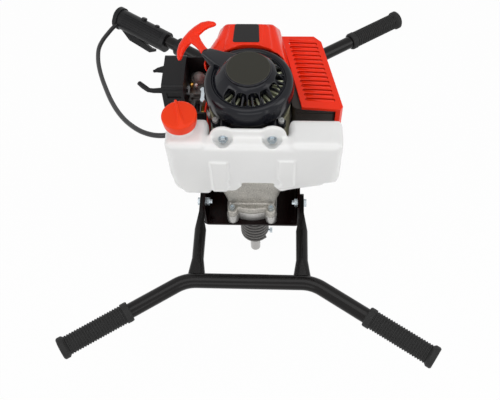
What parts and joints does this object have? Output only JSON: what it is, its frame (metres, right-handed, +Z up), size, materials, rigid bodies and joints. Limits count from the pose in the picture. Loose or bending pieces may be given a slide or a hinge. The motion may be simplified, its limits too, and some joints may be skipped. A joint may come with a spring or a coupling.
{
  "type": "earth auger power head",
  "caption": "Petrol earth auger power head: engine with recoil starter, gearbox, sprung drive shaft, front fuel tank, and a tubular frame with rubber grips and a throttle handle.",
  "frame": {"origin": "on the drive axis, at the shoulder of the shaft end where the drill's socket seats", "axes": "+Z up along the drive axis, -Y towards the fuel tank and front handlebar, +X towards the muffler"},
  "size_m": [0.6374, 0.7804, 0.54],
  "materials": {
    "black_paint": "satin powder coat",
    "zinc": "zinc plated",
    "rubber": "matte",
    "black_plastic": "moulded",
    "red_plastic": "moulded",
    "starter_plastic": "moulded, slight sheen",
    "steel": "machined",
    "cast_aluminium": "sand cast",
    "fan_metal": "die cast",
    "spring_steel": "dark oiled",
    "lining": "friction lined",
    "plug_rubber": "moulded",
    "reel_plastic": "moulded",
    "rope": "braided",
    "muffler_steel": "heat darkened",
    "brass": "turned",
    "clear_rubber": "soft",
    "foam": "open foam",
    "tank_plastic": "milky"
  },
  "bodies": {
    "frame": {"base_plate": "black_paint", "front_bar": "black_paint", "rear_bar": "black_paint", "front_left_arm": "black_paint", "front_right_arm": "black_paint", "rear_left_arm": "black_paint", "rear_right_arm": "black_paint", "arm_bolts": "zinc", "gearbox_screws": "zinc", "starter_screws": "zinc", "tank_bolts": "zinc", "front_left_grip": "rubber", "front_right_grip": "rubber", "rear_right_grip": "rubber", "oil_seal": "rubber", "throttle_cable": "rubber", "throttle_top": "black_plastic", "throttle_bottom": "black_plastic", "filter_base": "black_plastic", "filter_cover": "black_plastic", "intake_insulator": "black_plastic", "engine_cover": "red_plastic", "muffler_guard": "red_plastic", "starter_cover": "starter_plastic", "trigger_pin": "steel", "pinion_bearing": "steel", "reel_post": "steel", "gearbox_cover": "cast_aluminium", "gearbox_housing": "cast_aluminium", "crankcase": "cast_aluminium", "cylinder_barrel": "cast_aluminium", "fan_housing": "fan_metal", "carburettor": "fan_metal", "spark_plug": "plug_rubber", "muffler": "muffler_steel", "carb_fittings": "brass", "filter_element": "foam", "fuel_tank": "tank_plastic"},
    "drive_hub": {"output_shaft": "steel", "spring_hub": "steel", "shock_spring": "spring_steel"},
    "drill_end": {"drill_shaft": "zinc", "spring_stop": "zinc"},
    "lay_gear": {"layshaft": "steel"},
    "drum": {"input_pinion": "steel", "clutch_drum": "steel"},
    "crank": {"crankshaft": "steel", "flywheel": "fan_metal", "clutch_shoes": "lining"},
    "pull_grip": {"starter_handle": "red_plastic", "starter_rope": "rope"},
    "reel": {"starter_reel": "reel_plastic"},
    "trigger": {"throttle_trigger": "black_plastic"},
    "carb_lever": {"throttle_lever": "zinc"},
    "lockout": {"trigger_lockout": "black_plastic"},
    "stop": {"stop_switch": "red_plastic"},
    "choke": {"choke_lever": "black_plastic"},
    "primer": {"primer_bulb": "clear_rubber"},
    "gasket": {"cap_gasket": "rubber"},
    "cap": {"fuel_cap": "red_plastic"}
  },
  "joints": [
    {"name": "drum_spin", "type": "hinge", "parent": "frame", "child": "drum", "pos_m": [0, 0, 0.2], "axis": [0, 0, 1], "continuous": true},
    {"name": "lay_spin", "type": "hinge", "parent": "frame", "child": "lay_gear", "pos_m": [0, 0.0244, 0.18], "axis": [0, 0, 1], "continuous": true},
    {"name": "output_spin", "type": "hinge", "parent": "frame", "child": "drive_hub", "pos_m": [0, 0, 0.16], "axis": [0, 0, 1], "continuous": true},
    {"name": "shock_twist", "type": "hinge", "parent": "drive_hub", "child": "drill_end", "pos_m": [0, 0, 0.05], "axis": [0, 0, 1], "range_deg": [-10, 10], "stiffness_Nm_per_rad": 300},
    {"name": "crank_spin", "type": "hinge", "parent": "frame", "child": "crank", "pos_m": [0, 0, 0.3], "axis": [0, 0, 1], "continuous": true},
    {"name": "starter_pull", "type": "slide", "parent": "frame", "child": "pull_grip", "axis": [-0.5476, 0.8368, 0], "range_m": [0, 0.6], "stiffness_N_per_m": 15, "springref_m": -0.1, "deforming": ["starter_rope"]},
    {"name": "reel_spin", "type": "hinge", "parent": "frame", "child": "reel", "pos_m": [0, 0, 0.446], "axis": [0, 0, 1], "range_deg": [-1330, 0]},
    {"name": "trigger_pull", "type": "hinge", "parent": "frame", "child": "trigger", "pos_m": [-0.29614, 0.40544, 0.16844], "axis": [-0.4521, -0.6831, 0.5736], "range_deg": [0, 8], "stiffness_Nm_per_rad": 1.2, "springref_deg": -11.46},
    {"name": "carb_throttle", "type": "hinge", "parent": "frame", "child": "carb_lever", "pos_m": [-0.083, 0.08, 0.3343], "axis": [0, 0, 1], "range_deg": [-50, 0]},
    {"name": "lockout_press", "type": "slide", "parent": "frame", "child": "lockout", "axis": [-0.3166, -0.4783, -0.8192], "range_m": [0, 0.0022], "stiffness_N_per_m": 300, "springref_m": -0.002},
    {"name": "stop_press", "type": "slide", "parent": "frame", "child": "stop", "axis": [-0.3166, -0.4783, -0.8192], "range_m": [0, 0.0015], "stiffness_N_per_m": 300, "springref_m": -0.002},
    {"name": "choke_turn", "type": "hinge", "parent": "frame", "child": "choke", "pos_m": [-0.146, 0.074, 0.34], "axis": [1, 0, 0], "range_deg": [0, 75]},
    {"name": "primer_press", "type": "slide", "parent": "frame", "child": "primer", "axis": [0, 0, -1], "range_m": [0, 0.005], "stiffness_N_per_m": 400, "springref_m": -0.001, "deforming": ["primer_bulb"]},
    {"name": "cap_lift", "type": "slide", "parent": "frame", "child": "gasket", "axis": [0, 0, 1], "range_m": [0, 0.0061]},
    {"name": "cap_turn", "type": "hinge", "parent": "gasket", "child": "cap", "pos_m": [-0.098, -0.066, 0.44], "axis": [0, 0, 1], "range_deg": [0, 540]}
  ],
  "couplings": [
    {"joint": "lay_spin", "follows": "drum_spin", "ratio": -0.2},
    {"joint": "output_spin", "follows": "drum_spin", "ratio": 0.04},
    {"joint": "reel_spin", "follows": "starter_pull", "rad_per_m": -38.462},
    {"joint": "carb_throttle", "follows": "trigger_pull", "ratio": -6.25},
    {"joint": "cap_lift", "follows": "cap_turn", "m_per_rad": 0.00063662}
  ]
}
